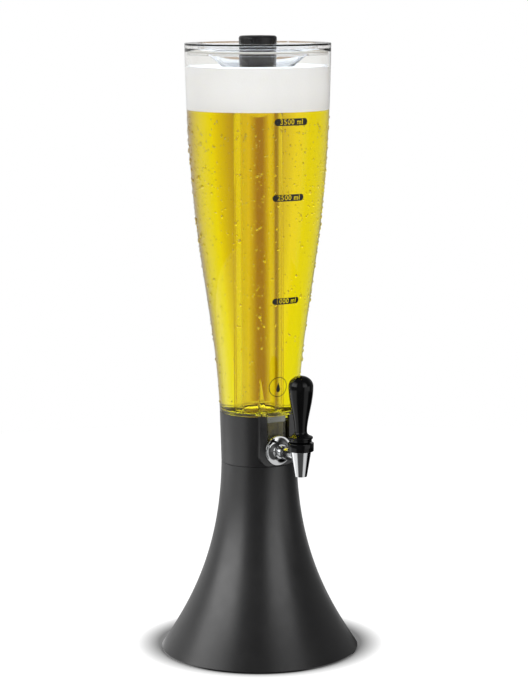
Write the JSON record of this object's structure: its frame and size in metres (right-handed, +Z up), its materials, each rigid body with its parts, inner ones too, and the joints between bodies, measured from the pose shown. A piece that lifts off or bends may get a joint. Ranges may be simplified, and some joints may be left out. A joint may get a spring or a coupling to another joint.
{
  "type": "drink tower dispenser",
  "caption": "Table-top drink tower: flared stand, clear goblet-shaped tank with an ice tube and funnel lid, and a lever tap with a sprung valve at its foot.",
  "frame": {"origin": "centre of the foot on the table", "axes": "+Z up along the tower's axis, -Y towards the tap, +X to the right seen from the tap's side"},
  "size_m": [0.227, 0.227, 0.705],
  "materials": {
    "stand_plastic": "fine-grained charcoal moulding",
    "plate_plastic": "plain moulding",
    "screw_steel": "zinc-plated",
    "foot_rubber": "soft, matt",
    "clear_plastic": "clear, polished",
    "smoke_plastic": "clear with a light grey tint",
    "silicone": "milky food-grade silicone",
    "black_rubber": "o-ring",
    "cap_plastic": "satin black moulding",
    "chrome": "mirror",
    "tap_steel": "turned",
    "black_gloss": "polished black moulding"
  },
  "bodies": {
    "stand": {"base_bell": "stand_plastic", "base_plate": "plate_plastic", "base_plate_screws": "screw_steel", "rubber_feet": "foot_rubber", "base_collar": "stand_plastic", "collar_screws": "screw_steel"},
    "tank_unit": {"tank": "clear_plastic", "tap_body": "chrome", "tap_escutcheon": "chrome", "tap_seal_washer": "silicone", "tap_lock_nut": "tap_steel", "bonnet": "black_gloss", "bonnet_seal": "silicone", "stem_seal": "black_rubber", "valve_spring": "tap_steel"},
    "valve": {"valve_stem": "tap_steel", "seat_plug": "silicone", "handle_pin": "tap_steel"},
    "handle": {"tap_handle": "black_gloss"},
    "lid_unit": {"lid": "smoke_plastic", "lid_gasket": "silicone"},
    "ice_tube_unit": {"ice_tube": "clear_plastic", "tube_seal": "silicone"},
    "cap_unit": {"ice_tube_cap": "cap_plastic", "cap_seal": "black_rubber"}
  },
  "joints": [
    {"name": "tank_lift", "type": "slide", "parent": "stand", "child": "tank_unit", "axis": [0, 0, 1], "range_m": [0, 0.085]},
    {"name": "lid_lift", "type": "slide", "parent": "tank_unit", "child": "lid_unit", "axis": [0, 0, 1], "range_m": [0, 0.43]},
    {"name": "ice_tube_lift", "type": "slide", "parent": "lid_unit", "child": "ice_tube_unit", "axis": [0, 0, 1], "range_m": [0, 0.43]},
    {"name": "cap_pull", "type": "slide", "parent": "ice_tube_unit", "child": "cap_unit", "axis": [0, 0, 1], "range_m": [0, 0.05]},
    {"name": "valve_lift", "type": "slide", "parent": "tank_unit", "child": "valve", "axis": [0, 0, 1], "range_m": [0, 0.00628], "deforming": ["valve_spring"]},
    {"name": "handle_tilt", "type": "hinge", "parent": "valve", "child": "handle", "pos_m": [0, -0.0904, 0.2635], "axis": [1, 0, 0], "range_deg": [0, 40], "stiffness_Nm_per_rad": 0.25, "springref_deg": -17.19}
  ],
  "couplings": [
    {"joint": "valve_lift", "follows": "handle_tilt", "m_per_rad": 0.009}
  ]
}
